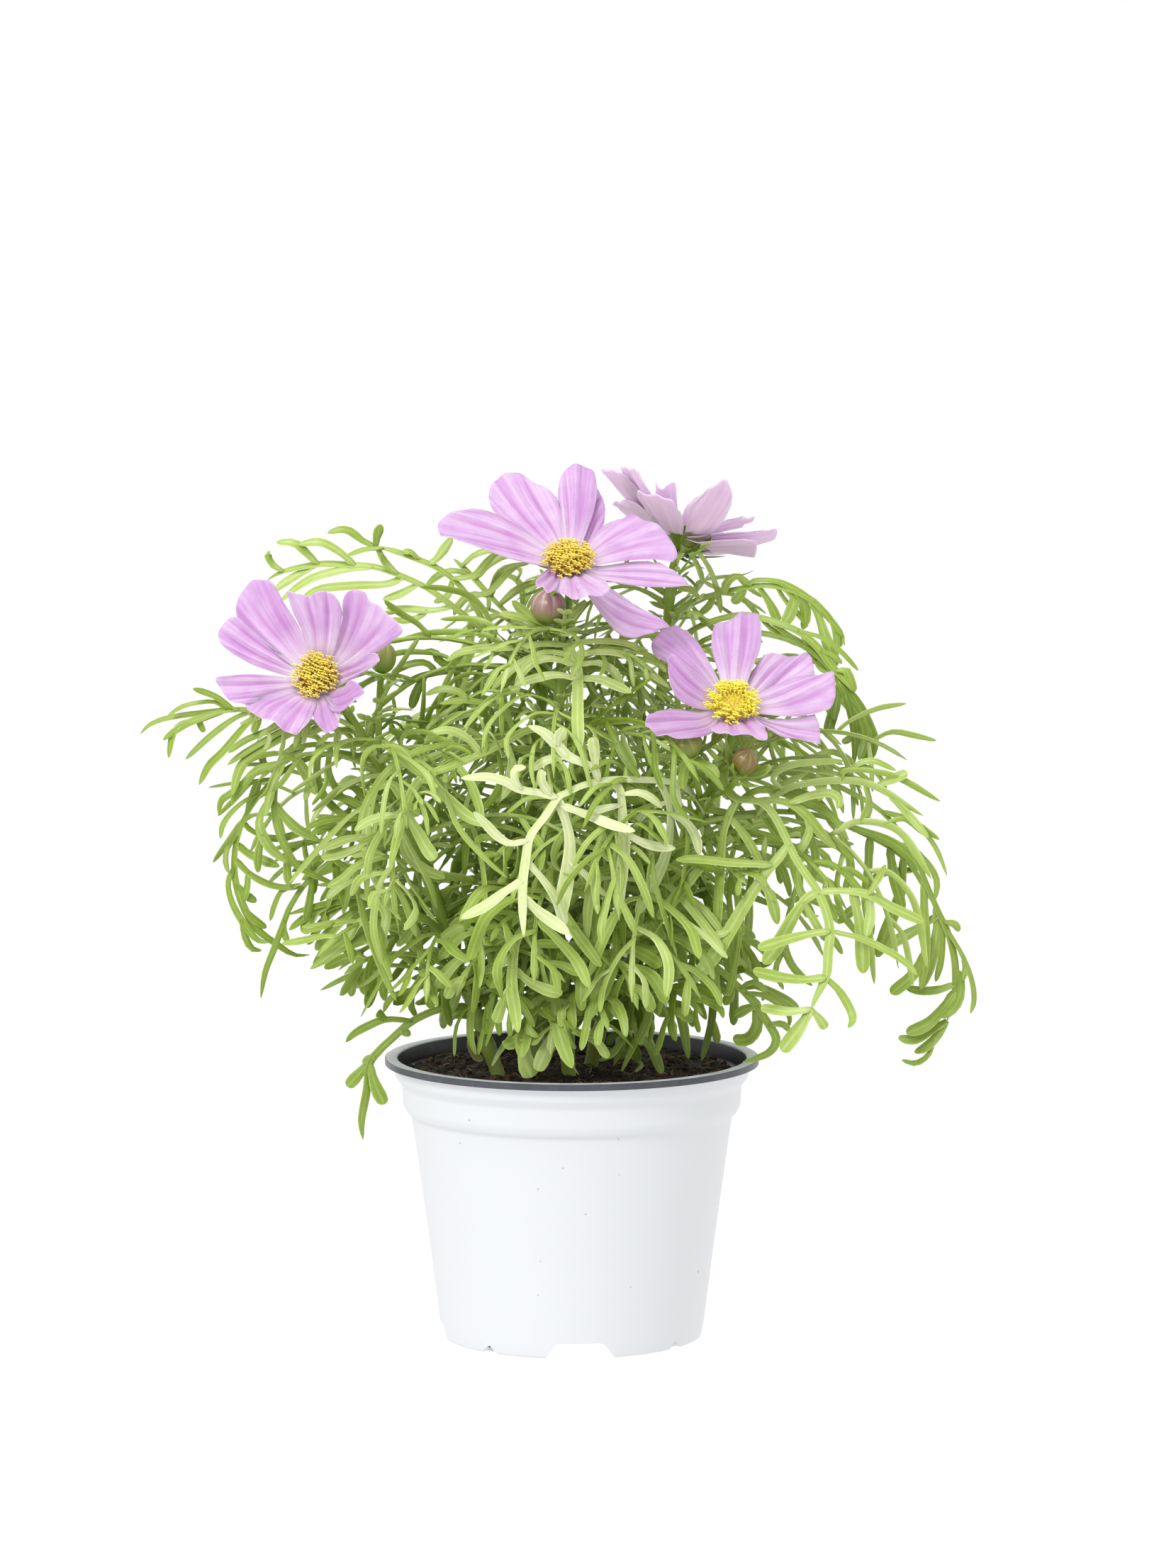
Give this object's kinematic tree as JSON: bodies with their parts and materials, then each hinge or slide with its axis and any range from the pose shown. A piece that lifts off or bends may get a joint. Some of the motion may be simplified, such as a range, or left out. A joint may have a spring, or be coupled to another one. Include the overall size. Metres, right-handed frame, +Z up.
{
  "type": "potted garden cosmos",
  "caption": "Flowering garden cosmos with finely cut leaves growing from soil in a round tapered plastic nursery pot that stands on its flat foot.",
  "frame": {"origin": "centre of the pot's flat underside, on the plane that it stands on", "axes": "+Z up out of the pot; -Y towards the picture's viewer, +X to the viewer's right"},
  "size_m": [0.2638, 0.184, 0.278],
  "materials": {
    "pot": "white thermoformed plastic, black inside, soft sheen",
    "soil": "dark crumbly potting soil with pale fibres",
    "foliage": "fresh yellow-green leaf, satin",
    "petals": "lilac-pink petal, velvety, pleated",
    "disc_gold": "golden florets",
    "disc_lemon": "lemon yellow florets",
    "bud_rose": "reddish purple bud scales",
    "bud_green": "green bud scales"
  },
  "bodies": {
    "root": {"pot": "pot", "soil": "soil", "leafy_stem_left": "foliage", "leafy_stem_front": "foliage", "leafy_stem_right": "foliage", "leafy_stem_middle": "foliage", "leafy_stem_back": "foliage", "flower_1_petals": "petals", "flower_2_petals": "petals", "flower_3_petals": "petals", "flower_4_petals": "petals", "flower_1_disc": "disc_gold", "flower_2_disc": "disc_gold", "flower_3_disc": "disc_lemon", "flower_4_disc": "disc_gold", "bud_front": "bud_rose", "bud_right": "bud_rose", "bud_left": "bud_green", "bud_under_flower": "bud_green"}
  },
  "joints": []
}
